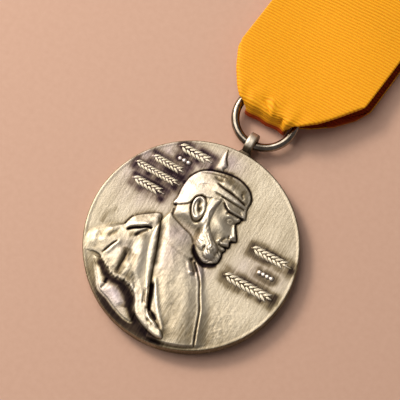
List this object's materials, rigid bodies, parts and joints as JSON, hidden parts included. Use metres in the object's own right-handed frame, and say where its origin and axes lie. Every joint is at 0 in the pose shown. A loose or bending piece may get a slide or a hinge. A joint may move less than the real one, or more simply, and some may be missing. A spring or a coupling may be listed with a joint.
{
  "type": "medal on ribbon",
  "caption": "Round struck medal with a relief bust, hung by an eye and a wire ring from a folded grosgrain ribbon with a pin brooch behind its top.",
  "frame": {"origin": "centre of the disc's flat back face, which lies on the table", "axes": "+Z out of the medal's face, +Y from the disc's centre through the eye and up the ribbon, +X to the right of the face seen from the front with the ribbon at the top"},
  "size_m": [0.04, 0.1019, 0.0054],
  "materials": {
    "bronze": "antiqued bronze: bright brushed high points over dark patina",
    "ring_wire": "polished bronze wire, slightly browned",
    "ribbon": "ribbed grosgrain weave with a soft sheen",
    "card": "stiffened cotton buckram",
    "thread": "twisted sewing thread",
    "nickel": "nickel-plated brass, lightly scuffed",
    "steel": "drawn and polished steel wire"
  },
  "bodies": {
    "medal": {"medal_disc": "bronze", "suspension_eye": "bronze"},
    "ring": {"suspension_ring": "ring_wire"},
    "ribbon": {"ribbon": "ribbon", "ribbon_stiffener": "card", "top_seam": "thread", "brooch_plate": "nickel", "plate_stitches": "thread", "hinge_bracket": "nickel", "hinge_rivet": "steel", "catch_base": "nickel"},
    "needle": {"pin_needle": "steel"},
    "roller": {"catch_roller": "nickel"}
  },
  "joints": [
    {"name": "ring_swing", "type": "hinge", "parent": "medal", "child": "ring", "pos_m": [0, 0.0224, 0.0022], "axis": [1, 0, 0], "range_deg": [-110, 110]},
    {"name": "ribbon_swing", "type": "hinge", "parent": "ring", "child": "ribbon", "pos_m": [0, 0.0338, 0.0022], "axis": [1, 0, 0], "range_deg": [-10, 10]},
    {"name": "needle_open", "type": "hinge", "parent": "ribbon", "child": "needle", "pos_m": [-0.0026, 0.07441, 0.0015], "axis": [0.1097, 0.994, 0], "range_deg": [0, 60]},
    {"name": "catch_turn", "type": "hinge", "parent": "ribbon", "child": "roller", "pos_m": [0.0138, 0.07261, 0.0015], "axis": [-0.994, 0.1097, 0], "range_deg": [0, 100]}
  ]
}
